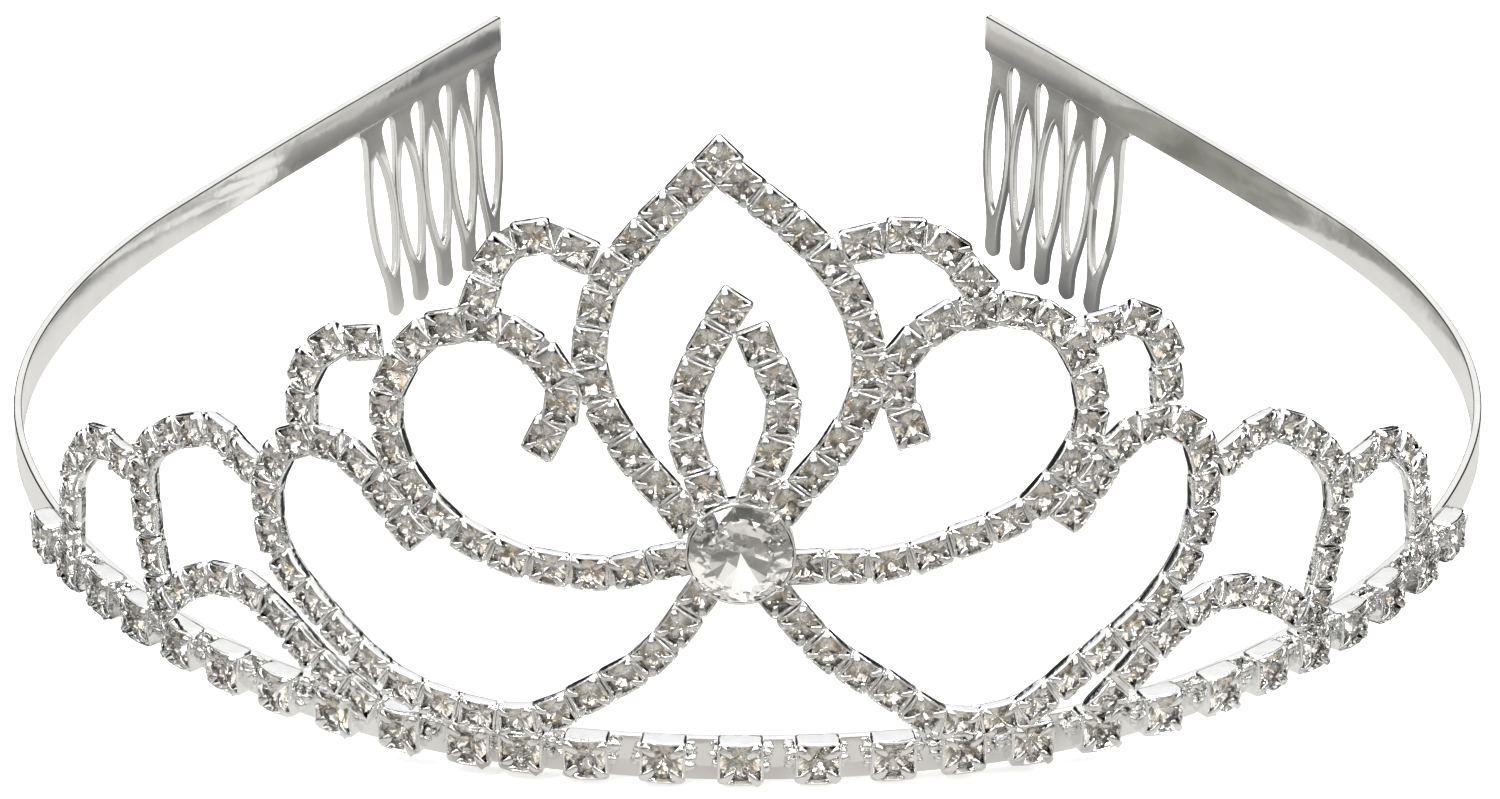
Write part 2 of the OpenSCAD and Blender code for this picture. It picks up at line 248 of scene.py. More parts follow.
def bar(path, wide, thick):
    """a flat-topped claw with chamfered edges, along a path that leans inward over the stone"""
    path = [np.array(p, float) for p in path]
    rings = []
    for i, p in enumerate(path):
        d = unit(path[min(i + 1, len(path) - 1)] - path[max(i - 1, 0)])
        side = unit(np.cross(d, np.array([path[0][0], path[0][1], 0.0])) if abs(d[2]) > 0.98 else np.cross(d, (0, 0, 1.0)))
        out = np.cross(side, d)
        w, h = wide[i], thick[i]
        rings.append(np.array([p + side * (w * x) + out * (h * y) for x, y in
                               ((1, -0.5), (1, 0.45), (0.62, 1), (-0.62, 1), (-1, 0.45), (-1, -0.5), (-0.6, -1), (0.6, -1))]))
    d = unit(path[-1] - path[-2])
    last = rings[-1] - path[-1]
    for size, on in ((0.86, 0.34), (0.56, 0.66), (0.22, 0.80)):
        rings.append(path[-1] + last * size + d * wide[-1] * on)
    v, f = loft(rings)
    c, q = rings[1].mean(0), f[8]
    if np.dot(np.cross(v[q[1]] - v[q[0]], v[q[2]] - v[q[0]]), v[list(q)].mean(0) - c) < 0:
        f = [tuple(reversed(x)) for x in f]
    return v, f


def cup_shape(a, back, lip, low, wall, rc, floor, foot, claws, loose, kind):
    """an open square box setting with four claws folded over its stone; x along the chain, z outward"""
    def ring(half, z, r=rc):
        p, u = rounded_square(half, r)
        zz = np.full(len(p), z) if np.isscalar(z) else z(u)
        return np.column_stack([p, zz])
    arch = lambda d: (lambda u: low + (lip - low) * np.clip(1 - (u / 0.95) ** 6, 0, 1) + d)
    rings = [ring(a - 0.34, back), ring(a - 0.27, back + 0.06), ring(a - 0.10, back + foot - 0.06), ring(a - 0.02, back + foot), ring(a, back + foot + 0.08),
             ring(a, arch(-0.27)),
             ring(a - 0.03, arch(-0.15)), ring(a - 0.09, arch(-0.05)), ring(a - 0.17, arch(0.0)), ring(a - wall + 0.03, arch(-0.02)),
             ring(a - wall, arch(-0.07), max(rc - wall, 0.12)), ring(a - wall - 0.04, lambda u: np.full(len(u), floor + 0.1), 0.15)]
    box = loft(rings)
    bars = []
    dice = random.Random(100 + kind)
    for q in range(4):
        w = math.radians(90 * q + dice.uniform(-4, 4) * loose)
        reach = 1 + dice.uniform(-0.16, 0.10) * loose
        lift = dice.uniform(-0.05, 0.05) * loose
        R = np.array([[math.cos(w), -math.sin(w), 0], [math.sin(w), math.cos(w), 0], [0, 0, 1]])
        k = len(claws) - 1
        path = []
        for i, (pt_, _, _) in enumerate(claws):
            pt_ = np.array(pt_)
            if i >= 2:
                pt_ = pt_ * np.array([1 / reach, 1 / reach, 1.0])
                pt_[2] += lift * (i - 1) / (k - 1)
            path.append(R @ pt_)
        fat = 1 + dice.uniform(-0.12, 0.15) * loose
        bars.append(bar(path, [b * fat for _, b, _ in claws], [c for _, _, c in claws]))
    return box, joined(bars)


def joined(parts):
    v = np.concatenate([p[0] for p in parts])
    f, n = [], 0
    for pv, pf in parts:
        f += [tuple(i + n for i in x) for x in pf]
        n += len(pv)
    return v, f


def brilliant(r, girdle, edge, top, culet, table=0.56, turn=0.0, fine=True):
    """a round cut stone: crown (glass, 0) and foiled back (1)"""
    def pt(k, rad, z):
        w = math.radians(22.5 * k + turn)
        return (rad * math.cos(w), rad * math.sin(w), z)
    v, f, m = [], [], []
    T = [len(v) + k for k in range(8)]
    v += [pt(2 * k, table * r, top) for k in range(8)]
    mid_r = (0.5 * table + 0.5) * r * 1.02
    mid_z = girdle + edge + (top - girdle - edge) * 0.52
    M = [len(v) + k for k in range(8)]
    v += [pt(2 * k + 1, mid_r, mid_z) for k in range(8)]
    G = [len(v) + k for k in range(16)]
    v += [pt(k, r, girdle + edge) for k in range(16)]
    H = [len(v) + k for k in range(16)]
    v += [pt(k, r, girdle) for k in range(16)]
    f.append(tuple(T)); m.append(0)
    for k in range(8):
        k1 = (k + 1) % 8
        f.append((T[k], M[k], T[k1])); m.append(0)                       # star
        f.append((T[k], M[k - 1], G[2 * k], M[k])); m.append(0)          # kite
        f.append((M[k], G[2 * k], G[2 * k + 1])); m.append(0)            # upper girdle
        f.append((M[k], G[2 * k + 1], G[(2 * k + 2) % 16])); m.append(0)
    for k in range(16):
        k1 = (k + 1) % 16
        f.append((G[k], H[k], H[k1], G[k1])); m.append(0)
    # back: eight long facets and sixteen short ones
    P = [len(v) + k for k in range(8)]
    pr, pz = 0.30 * r, culet + 0.26 * (girdle - culet)
    v += [pt(2 * k + 1, pr, pz) for k in range(8)]
    C = len(v)
    v.append((0, 0, culet))
    for k in range(8):
        k1 = (k + 1) % 8
        f.append((C, P[k], P[k - 1])); m.append(1)
        f.append((P[k - 1], P[k], H[2 * k])); m.append(1)
        f.append((P[k], H[2 * k + 1], H[2 * k])); m.append(1)
        f.append((P[k], H[(2 * k + 2) % 16], H[2 * k + 1])); m.append(1)
    v = np.array(v)
    # the star's corner order has to face out
    out = []
    for q in f:
        n = np.cross(v[q[1]] - v[q[0]], v[q[2]] - v[q[0]])
        c = v[list(q)].mean(0) - np.array([0, 0, girdle])
        out.append(tuple(reversed(q)) if np.dot(n, c) < 0 else q)
    return v, out, m


# ---------------------------------------------------------------------------
# Materials
# ---------------------------------------------------------------------------
def new_material(name):
    m = bpy.data.materials.new(name)
    m.use_nodes = True
    nt = m.node_tree
    return m, nt, nt.nodes["Principled BSDF"]


def put(nt, kind, **values):
    n = nt.nodes.new(kind)
    for k, v in values.items():
        if k in n.inputs:
            n.inputs[k].default_value = v
        else:
            setattr(n, k, v)
    return n


def mapped(nt, scale):
    tc = nt.nodes.new("ShaderNodeTexCoord")
    mp = nt.nodes.new("ShaderNodeMapping")
    mp.inputs["Scale"].default_value = (scale, scale, scale)
    nt.links.new(tc.outputs["Object"], mp.inputs["Vector"])
    return mp


def silver(name, tint, rough, spread, bump, grain):
    """polished plating: slightly wavy, with thin patches of duller finish"""
    m, nt, b = new_material(name)
    b.inputs["Metallic"].default_value = 1.0
    mp = mapped(nt, 1.0)
    n1 = put(nt, "ShaderNodeTexNoise", Scale=grain, Detail=4.0, Roughness=0.6)
    nt.links.new(mp.outputs[0], n1.inputs["Vector"])
    ramp = nt.nodes.new("ShaderNodeValToRGB")
    ramp.color_ramp.elements[0].position = 0.35
    ramp.color_ramp.elements[0].color = tuple(c * 0.93 for c in tint) + (1,)
    ramp.color_ramp.elements[1].position = 0.65
    ramp.color_ramp.elements[1].color = tuple(tint) + (1,)
    nt.links.new(n1.outputs["Fac"], ramp.inputs["Fac"])
    nt.links.new(ramp.outputs["Color"], b.inputs["Base Color"])
    mr = put(nt, "ShaderNodeMapRange")
    mr.inputs["From Min"].default_value = 0.3
    mr.inputs["From Max"].default_value = 0.7
    mr.inputs["To Min"].default_value = rough - spread
    mr.inputs["To Max"].default_value = rough + spread
    nt.links.new(n1.outputs["Fac"], mr.inputs["Value"])
    nt.links.new(mr.outputs[0], b.inputs["Roughness"])
    n2 = put(nt, "ShaderNodeTexNoise", Scale=grain * 2.2, Detail=2.0)
    nt.links.new(mp.outputs[0], n2.inputs["Vector"])
    bp = put(nt, "ShaderNodeBump", Strength=bump, Distance=0.0002)
    nt.links.new(n2.outputs["Fac"], bp.inputs["Height"])
    nt.links.new(bp.outputs[0], b.inputs["Normal"])
    return m


def crystal(name, tint):
    m, nt, b = new_material(name)
    b.inputs["Transmission Weight"].default_value = 1.0
    b.inputs["IOR"].default_value = 1.56
    b.inputs["Roughness"].default_value = 0.0
    mp = mapped(nt, 1.0)
    n1 = put(nt, "ShaderNodeTexNoise", Scale=260.0, Detail=1.0)
    nt.links.new(mp.outputs[0], n1.inputs["Vector"])
    ramp = nt.nodes.new("ShaderNodeValToRGB")
    ramp.color_ramp.elements[0].color = tuple(c * 0.97 for c in tint) + (1,)
    ramp.color_ramp.elements[1].color = tuple(tint) + (1,)
    nt.links.new(n1.outputs["Fac"], ramp.inputs["Fac"])
    nt.links.new(ramp.outputs["Color"], b.inputs["Base Color"])
    return m


def foil(name, tint, warm, metal=0.88, rough=0.04):
    """the mirror behind a stone, with a faint warm and cool play from place to place"""
    m, nt, b = new_material(name)
    b.inputs["Metallic"].default_value = metal
    b.inputs["Roughness"].default_value = rough
    mp = mapped(nt, 1.0)
    n1 = put(nt, "ShaderNodeTexNoise", Scale=900.0, Detail=2.0)
    nt.links.new(mp.outputs[0], n1.inputs["Vector"])
    ramp = nt.nodes.new("ShaderNodeValToRGB")
    e = ramp.color_ramp.elements
    e[0].position, e[0].color = 0.30, tuple(warm) + (1,)
    e[1].position, e[1].color = 0.46, tuple(tint) + (1,)
    nt.links.new(n1.outputs["Fac"], ramp.inputs["Fac"])
    nt.links.new(ramp.outputs["Color"], b.inputs["Base Color"])
    return m


SILVER = silver("silver_polished", (0.93, 0.93, 0.925), 0.07, 0.03, 0.25, 900.0)
BAND_SILVER = silver("silver_strip", (0.91, 0.905, 0.89), 0.14, 0.05, 0.22, 170.0)
GLASS = crystal("crystal_glass", (1.0, 0.995, 0.985))
FOIL = foil("crystal_foil", (0.985, 0.97, 0.935), (0.86, 0.75, 0.61))
CENTRE_GLASS = crystal("centre_glass", (0.99, 0.99, 0.98))
CENTRE_FOIL = foil("centre_foil", (0.95, 0.95, 0.935), (0.90, 0.88, 0.84), 0.84, 0.03)

# ---------------------------------------------------------------------------
# Headband
# ---------------------------------------------------------------------------


def strip_section(h, t, r, arc=3):
    """the strip's rounded section: (outward, up), anticlockwise seen along the strip"""
    pts = []
    for cx, cz, w0 in ((t / 2 - r, -h / 2 + r, -90), (t / 2 - r, h / 2 - r, 0), (-t / 2 + r, h / 2 - r, 90), (-t / 2 + r, -h / 2 + r, 180)):
        for j in range(arc + 1):
            w = math.radians(w0 + 90 * j / arc)
            pts.append((cx + r * math.cos(w), cz + r * math.sin(w)))
    return pts


band = Pile()
sec = strip_section(STRIP_H, STRIP_T - 0.03, 0.22)
rings = []
ends = [(0.0, 0.62, 0.45), (0.04, 0.80, 0.72), (0.14, 0.91, 0.90), (0.32, 0.98, 1.0)]
stations = ([(-BAND_LEN + d, hh, tt) for d, hh, tt in ends] + [(s, 1.0, 1.0) for s in np.linspace(-BAND_LEN + 0.7, BAND_LEN - 0.7, 415)]
            + [(BAND_LEN - d, hh, tt) for d, hh, tt in reversed(ends)])
for s, hh, tt in stations:
    x, y, h = band_at(abs(s))
    g = -1.0 if s < 0 else 1.0
    rings.append(np.array([(g * (x + n * tt * math.sin(h)), y - n * tt * math.cos(h), z * hh) for n, z in sec]))
v, f = loft(rings)
band.add(v, [tuple(reversed(q)) for q in f])
headband = band.build("headband", [BAND_SILVER], "silver_plate")

# a tooth: half width at a distance below its root
TOOTH = [(0.0, 1.75), (1.5, 1.50), (3.2, 1.60), (6.0, 1.98), (9.0, 2.25), (11.5, 2.30), (14.5, 2.10), (17.5, 1.55),
         (19.5, 1.12), (21.2, 1.00), (22.3, 1.10)]


def tooth_half(d):
    ds = [p[0] for p in TOOTH]
    k = max(0, min(len(ds) - 2, int(np.searchsorted(ds, d)) - 1))
    p = [TOOTH[max(k - 1, 0)], TOOTH[k], TOOTH[k + 1], TOOTH[min(k + 2, len(TOOTH) - 1)]]
    u = (d - p[1][0]) / (p[2][0] - p[1][0])
    u = min(max(u, 0.0), 1.0)
    m1 = (p[2][1] - p[0][1]) / max(p[2][0] - p[0][0], 1e-6) * (p[2][0] - p[1][0])
    m2 = (p[3][1] - p[1][1]) / max(p[3][0] - p[1][0], 1e-6) * (p[2][0] - p[1][0])
    return ((2 * u ** 3 - 3 * u * u + 1) * p[1][1] + (u ** 3 - 2 * u * u + u) * m1
            + (-2 * u ** 3 + 3 * u * u) * p[2][1] + (u ** 3 - u * u) * m2)


def comb_outline():
    l = BAND_LEN - COMB_S
    h = STRIP_H / 2
    out = []

    def tooth_pt(i, side, d, half):
        w = math.radians(TOOTH_LEAN - i * TOOTH_FAN)
        x0 = TOOTH_FIRST + i * TOOTH_PITCH
        return (x0 + side * half * math.cos(w) + d * math.sin(w), -h + side * half * math.sin(w) - d * math.cos(w))
    # from the front end of the plate along the lower edge, tooth by tooth
    out.append((0.15, -h + 0.9))
    out.append((0.15, -h + 0.1))
    tip_r = 1.12
    web = 1.35
    for i in range(TEETH):
        start = 0.0 if i == 0 else web
        ds = np.linspace(start, TOOTH_LEN - tip_r, 26)
        if i == 0:
            out.append(tooth_pt(i, -1, 0.0, 2.5)); out.append(tooth_pt(i, -1, 0.35, 1.95))
            ds = ds[ds > 0.8]
        out += [tooth_pt(i, -1, d, tooth_half(d)) for d in ds]
        for j in range(1, 12):
            w = math.pi * j / 12
            out.append(tooth_pt(i, -1, TOOTH_LEN - tip_r + tip_r * math.sin(w), 1.10 * math.cos(w)))
        ds = np.linspace(TOOTH_LEN - tip_r, web, 26)
        out += [tooth_pt(i, 1, d, tooth_half(d)) for d in ds]
        if i < TEETH - 1:
            # the round top of the gap to the next tooth
            a = np.array(tooth_pt(i, 1, web, tooth_half(web)))
            b = np.array(tooth_pt(i + 1, -1, web, tooth_half(web)))
            c, rad = (a + b) / 2, np.linalg.norm(b - a) / 2
            for j in range(1, 8):
                w = math.pi - math.pi * j / 8
                out.append((c[0] + rad * math.cos(w), c[1] + rad * 1.15 * math.sin(w)))
        else:
            out.append(tooth_pt(i, 1, 0.7, tooth_half(0.7) + 0.15))
            out.append(tooth_pt(i, 1, 0.2, tooth_half(0.2) + 0.55))
    # the rear end, and back along the inside of the strip
    out += [(l - 0.75, -h + 0.25), (l - 0.7, -h + 0.9)]
    return out


def comb_slots():
    slots = []
    for i in range(TEETH):
        w = math.radians(TOOTH_LEAN - i * TOOTH_FAN)
        x0 = TOOTH_FIRST + i * TOOTH_PITCH
        d0, d1 = 3.5, 18.9
        pts = []
        for side in (1, -1):
            for j in range(20):
                u = j / 20 if side == 1 else 1 - j / 20
                d = d0 + (d1 - d0) * u
                half = 1.52 * (math.sin(math.pi * u) ** 0.72) * (1 - 0.10 * (u - 0.5)) + 0.02
                pts.append((x0 + side * half * math.cos(w) + d * math.sin(w),
                            -STRIP_H / 2 + side * half * math.sin(w) - d * math.cos(w)))
        slots.append(pts)
    return slots


def comb_piece(name, g):
    cu = bpy.data.curves.new(name + "_outline", "CURVE")
    cu.dimensions = "2D"
    cu.fill_mode = "BOTH"
    r = 0.20
    for pts in [comb_outline()] + comb_slots():
        sp = cu.splines.new("POLY")
        sp.points.add(len(pts) - 1)
        for k, (x, y) in enumerate(pts):
            sp.points[k].co = (x, y, 0, 1)
        sp.use_cyclic_u = True
    cu.extrude = (STRIP_T - 0.07) / 2 - r
    cu.bevel_depth = r
    cu.bevel_resolution = 3
    cu.offset = -r
    ob = bpy.data.objects.new(name + "_curve", cu)
    bpy.context.scene.collection.objects.link(ob)
    bpy.context.view_layer.update()
    dg = bpy.context.evaluated_depsgraph_get()
    mesh = bpy.data.meshes.new_from_object(ob.evaluated_get(dg))
    bpy.data.objects.remove(ob)
    x, y, h = band_at(COMB_S)
    n = len(mesh.vertices)
    co = np.zeros(n * 3)
    mesh.vertices.foreach_get("co", co)
    co = co.reshape(-1, 3)
    # x to the rear along the strip, y up, z across the sheet
    P = np.column_stack([g * (x + co[:, 0] * math.cos(h) + co[:, 2] * math.sin(h)),
                         y + co[:, 0] * math.sin(h) - co[:, 2] * math.cos(h), co[:, 1]])
    P = at_rest(P) * MM
    mesh.vertices.foreach_set("co", P.ravel())
    bm = bmesh.new()
    bm.from_mesh(mesh)
    bmesh.ops.remove_doubles(bm, verts=bm.verts[:], dist=1e-7)
    bmesh.ops.recalc_face_normals(bm, faces=bm.faces[:])
    bm.to_mesh(mesh)
    bm.free()
    mesh.polygons.foreach_set("use_smooth", [True] * len(mesh.polygons))
    mesh.materials.clear()
    mesh.materials.append(BAND_SILVER)
    mesh.set_sharp_from_angle(angle=math.radians(38))
    mesh.update()
    out = bpy.data.objects.new(name, mesh)
    bpy.context.scene.collection.objects.link(out)
    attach(out, "root")
    return out


comb_l = comb_piece("comb_left", -1.0)
comb_r = comb_piece("comb_right", 1.0)

# ---------------------------------------------------------------------------
# Base row
# ---------------------------------------------------------------------------
BASE_S, run = [], BASE_FIRST
for cups, pitch in BASE:
    for _ in range(cups):
        BASE_S.append(run)
        run += pitch


def axes_at(s, t):
    """along the strip, up the surface, out of it"""
    n = surf_n(s, t)
    x, y, h = band_at(abs(s))
    g = -1.0 if s < 0 else 1.0
    u = np.array([math.cos(h), g * math.sin(h), 0.0])
    return u, np.cross(n, u), n


def spun(u, v, n, yaw, nod, roll):
    R = Matrix.Rotation(yaw, 3, "Z") @ Matrix.Rotation(nod, 3, "X") @ Matrix.Rotation(roll, 3, "Y")
    B = np.column_stack([u, v, n]) @ np.array(R)
    return B


base_claws = [((1.62, 1.62, 2.0), 0.28, 0.16), ((1.67, 1.67, 2.56), 0.32, 0.16), ((1.52, 1.52, 2.77), 0.37, 0.15),
              ((1.27, 1.27, 2.87), 0.37, 0.15), ((1.00, 1.00, 2.84), 0.33, 0.13), ((0.77, 0.77, 2.70), 0.27, 0.11)]
BASE_KINDS = [cup_shape(2.05, 0.3, 2.76, 2.54, 0.28, 0.42, 0.5, 0.45, base_claws, 1.0, k) for k in range(6)]
cups = Pile()
crys = Pile()


def lump(r, squash=1.0):
    """a small uneven bead of solder"""
    rings = []
    for a in (-78, -45, -12, 20, 50, 80):
        w = math.radians(a)
        rings.append(np.array([(k_ * math.cos(w) * math.cos(k * math.pi / 5), k_ * math.cos(w) * math.sin(k * math.pi / 5), k_ * squash * math.sin(w))
                               for k in range(10) for k_ in [r * rng.uniform(0.86, 1.12)]]))
    return loft(rings)


for i, s in enumerate(BASE_S):
    u, w, n = axes_at(s, BASE_T)
    B = spun(u, w, n, math.radians(rng.uniform(-2.5, 2.5)), math.radians(rng.uniform(-1.5, 1.5)), math.radians(rng.uniform(-2, 2)))
    at = surf(s, BASE_T, 0.0)
    (bv, bf), (kv, kf) = BASE_KINDS[rng.randrange(6)]
    cups.add(bv @ B.T + at, bf)
    cups.add(kv @ B.T + at, kf)
    sv, sf, sm = brilliant(1.83, 2.10, 0.10, 2.76, 0.60, 0.52, rng.uniform(0, 45))
    S = spun(u, w, n, 0, math.radians(rng.uniform(-3, 3)), math.radians(rng.uniform(-3, 3)))
    crys.add(sv @ S.T + at, sf, sm, smooth=False)
    for side in (-1, 1):
        for k in range(5):
            lv, lf = lump(rng.uniform(0.34, 0.60), rng.uniform(0.6, 1.0))
            c = np.array([side * (2.05 + rng.uniform(0.0, 0.45)), (k - 2) * 0.42 + rng.uniform(-0.2, 0.2), rng.uniform(0.6, 1.5)])
            R = np.array(Matrix.Rotation(rng.uniform(0, 3), 3, Vector((rng.uniform(-1, 1), rng.uniform(-1, 1), 1)).normalized()))
            cups.add((lv @ R.T + c) @ B.T + at, lf)
base_cups = cups.build("base_cups", [SILVER], "silver_plate")
base_stones = crys.build("base_stones", [GLASS, FOIL], "crystal")

# ---------------------------------------------------------------------------
# Scrollwork
# ---------------------------------------------------------------------------
small_claws = [((1.20, 1.20, 0.9), 0.22, 0.12), ((1.25, 1.25, 1.33), 0.25, 0.13), ((1.14, 1.14, 1.54), 0.28, 0.13),
               ((0.96, 0.96, 1.65), 0.28, 0.12), ((0.76, 0.76, 1.65), 0.25, 0.11), ((0.57, 0.57, 1.55), 0.20, 0.09)]
SMALL_KINDS = [cup_shape(1.58, 0.02, 1.50, 1.34, 0.24, 0.36, 0.0, 0.55, small_claws, 1.0, 20 + k) for k in range(8)]
chain = Pile()
chain_r = Pile()
links_l = Pile()
links_r = Pile()
gems = Pile()


def on_panel(q, n):
    return surf(q[0], q[1] - PANEL_DROP, PANEL_OUT + n)


for cups_n, back, route in SCROLLS:
    f = spline(route)
    seg = np.linalg.norm(np.diff(f, axis=0), axis=1)
    dist = np.concatenate([[0], np.cumsum(seg)])
    total = dist[-1]
    for k in range(cups_n):
        d = total * k / (cups_n - 1)
        q = np.array([np.interp(d, dist, f[:, 0]), np.interp(d, dist, f[:, 1])])
        lo, hi = max(0, d - 0.6), min(total, d + 0.6)
        qa = np.array([np.interp(lo, dist, f[:, 0]), np.interp(lo, dist, f[:, 1])])
        qb = np.array([np.interp(hi, dist, f[:, 0]), np.interp(hi, dist, f[:, 1])])
        at = on_panel(q, back)
        n = surf_n(q[0], q[1] - PANEL_DROP)
        u = unit(on_panel(qb, back) - on_panel(qa, back))
        u = unit(u - n * np.dot(u, n))
        w = np.cross(n, u)
        B = spun(u, w, n, math.radians(rng.uniform(-3.5, 3.5)), math.radians(rng.uniform(-3, 3)), math.radians(rng.uniform(-3, 3)))
        (bv, bf), (kv, kf) = SMALL_KINDS[rng.randrange(8)]
        # a cup is as long as the chain's pitch leaves room for
        B = B @ np.diag([min(max((total / (cups_n - 1) - 0.06) / 3.16, 1.0), 1.13), 1.0, 1.0])
        (chain if q[0] < 0 else chain_r).add(bv @ B.T + at, bf)
        (chain if q[0] < 0 else chain_r).add(kv @ B.T + at, kf)
        gv, gf, gm = brilliant(1.405, 1.08, 0.06, 1.60, 0.05, 0.52, rng.uniform(0, 45))
        S = spun(u, w, n, 0, math.radians(rng.uniform(-5, 5)), math.radians(rng.uniform(-5, 5)))
        gems.add(gv @ S.T + at, gf, gm, smooth=False)
    # short links join each cup to the next, narrower at their backs
    for k in range(cups_n - 1):
        ring = []
        for j in range(5):
            d = total * k / (cups_n - 1) + 1.12 + (total / (cups_n - 1) - 2.24) * j / 4
            q = np.array([np.interp(d, dist, f[:, 0]), np.interp(d, dist, f[:, 1])])
            qa = np.array([np.interp(d - 0.5, dist, f[:, 0]), np.interp(d - 0.5, dist, f[:, 1])])
            qb = np.array([np.interp(d + 0.5, dist, f[:, 0]), np.interp(d + 0.5, dist, f[:, 1])])
            n = surf_n(q[0], q[1] - PANEL_DROP)
            u = unit(on_panel(qb, back) - on_panel(qa, back))
            u = unit(u - n * np.dot(u, n))
            side = np.cross(n, u)
            p = on_panel(q, back)
            ring.append(np.array([p + side * a_ + n * z_ for a_, z_ in
                                  ((-1.20, 0.04), (1.20, 0.04), (1.28, 0.10), (1.45, 0.55), (1.40, 0.66), (0.5, 0.74), (-0.5, 0.74), (-1.40, 0.66), (-1.45, 0.55), (-1.28, 0.10))]))
        v, fc = loft(ring)
        (links_l if route[len(route) // 2][0] < 0 else links_r).add(v, fc)
scroll_l = chain.build("scroll_cups_left", [SILVER], "silver_plate")
scroll_r = chain_r.build("scroll_cups_right", [SILVER], "silver_plate")
link_l = links_l.build("scroll_links_left", [SILVER], "silver_plate")
link_r = links_r.build("scroll_links_right", [SILVER], "silver_plate")
for ob in (link_l, link_r):
    ob.data.set_sharp_from_angle(angle=math.radians(40))
scroll_stones = gems.build("scroll_stones", [GLASS, FOIL], "crystal")

# ---------------------------------------------------------------------------
# Centre setting
# ---------------------------------------------------------------------------
u, w, n = axes_at(CENTRE_S, CENTRE_T)
B = np.column_stack([u, w, n])
at = surf(CENTRE_S, CENTRE_T, 0.0)
setting = Pile()
profile = [(3.6, 0.5), (4.4, 0.55), (4.68, 0.8), (4.74, 1.6), (4.80, 2.5), (4.80, 2.74), (4.76, 2.84), (4.69, 2.88), (4.61, 2.87), (4.56, 2.80), (4.56, 1.9), (3.0, 1.1)]
rings = [np.array([(r * math.cos(a), r * math.sin(a), z) for a in np.arange(72) * math.pi / 36]) for r, z in profile]
v, f = loft(rings)
setting.add(v @ B.T + at, f)
for a in (48, 140, 228, 318):
    a = math.radians(a)
    c, s_ = math.cos(a), math.sin(a)
    path = [(4.72 * c, 4.72 * s_, 1.6), (4.80 * c, 4.80 * s_, 2.6), (4.66 * c, 4.66 * s_, 3.15), (4.36 * c, 4.36 * s_, 3.36), (4.12 * c, 4.12 * s_, 3.36)]
    v, f = tube(path, [0.34, 0.34, 0.30, 0.26, 0.20], sides=8)
    setting.add(v @ B.T + at, f)
centre_setting = setting.build("centre_setting", [SILVER], "silver_plate")
stone = Pile()
cv, cf, cm = brilliant(4.54, 2.72, 0.14, 4.30, 1.20, 0.60, 8.0)
stone.add(cv @ B.T + at, cf, cm, smooth=False)
centre_gem = stone.build("centre_gem", [CENTRE_GLASS, CENTRE_FOIL], "centre_crystal")

for piece in (headband, comb_l, comb_r, base_cups, scroll_l, scroll_r, link_l, link_r, centre_setting):
    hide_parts("tiara_frame")
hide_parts(*["base_stone_%02d" % (i + 1) for i in range(27)])
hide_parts("tiara_frame")
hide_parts("centre_stone")

# ---------------------------------------------------------------------------
# Floor, light, camera
# ---------------------------------------------------------------------------
sc = bpy.context.scene
mesh = bpy.data.meshes.new("floor")
mesh.from_pydata([(-3, -3, 0), (3, -3, 0), (3, 3, 0), (-3, 3, 0)], [], [(0, 1, 2, 3)])
floor = bpy.data.objects.new("floor", mesh)
sc.collection.objects.link(floor)
fm, nt, b = new_material("floor_pale")
b.inputs["Base Color"].default_value = (0.82, 0.82, 0.82, 1)
b.inputs["Roughness"].default_value = 0.9
b.inputs["Specular IOR Level"].default_value = 0.1
b.inputs["Emission Color"].default_value = (1, 1, 1, 1)
b.inputs["Emission Strength"].default_value = 0.55
mesh.materials.append(fm)
floor.visible_glossy = False
floor.visible_transmission = False

# a soft grey card over the floor, which only the metal and the stones see: it glows by its own emission, and its
# colours are painted reflections and painted shade in them
mesh = bpy.data.meshes.new("card")
mesh.from_pydata([(-0.35, -0.8, 0.0001), (0.35, -0.8, 0.0001), (0.35, 0.8, 0.0001), (-0.35, 0.8, 0.0001)], [], [(0, 1, 2, 3)])
card = bpy.data.objects.new("card", mesh)
sc.collection.objects.link(card)
card.visible_camera = False
card.visible_diffuse = False
card.visible_shadow = False
cm_ = bpy.data.materials.new("card_painted_reflection_and_shade")
cm_.use_nodes = True
nt = cm_.node_tree
nt.nodes.clear()
out = nt.nodes.new("ShaderNodeOutputMaterial")
em = nt.nodes.new("ShaderNodeEmission")
nt.links.new(em.outputs[0], out.inputs[0])
# painted shade behind the ring: inside a noisy oval there the card takes the darker tones set below, and a pale grey
# elsewhere
tc = nt.nodes.new("ShaderNodeTexCoord")
mp = nt.nodes.new("ShaderNodeMapping")
mp.vector_type = "TEXTURE"
mp.inputs["Location"].default_value = (0.0, 0.100, 0.0)
mp.inputs["Scale"].default_value = (0.072, 0.044, 1.0)
nt.links.new(tc.outputs["Object"], mp.inputs["Vector"])
ln = nt.nodes.new("ShaderNodeVectorMath")
ln.operation = "LENGTH"
nt.links.new(mp.outputs[0], ln.inputs[0])
cr_ = nt.nodes.new("ShaderNodeValToRGB")
cr_.color_ramp.elements[0].position, cr_.color_ramp.elements[0].color = 0.42, (0, 0, 0, 1)
cr_.color_ramp.elements[1].position, cr_.color_ramp.elements[1].color = 0.60, (1, 1, 1, 1)
sc_ = nt.nodes.new("ShaderNodeMath")
sc_.operation = "MULTIPLY"
sc_.inputs[1].default_value = 0.5
nt.links.new(ln.outputs["Value"], sc_.inputs[0])
nz = nt.nodes.new("ShaderNodeTexNoise")
nz.inputs["Scale"].default_value = 60.0
nz.inputs["Detail"].default_value = 1.0
nt.links.new(tc.outputs["Object"], nz.inputs["Vector"])
ad = nt.nodes.new("ShaderNodeMath")
ad.operation = "MULTIPLY_ADD"
ad.inputs[1].default_value = 0.35
nt.links.new(nz.outputs["Fac"], ad.inputs[0])
nt.links.new(sc_.outputs[0], ad.inputs[2])
su = nt.nodes.new("ShaderNodeMath")
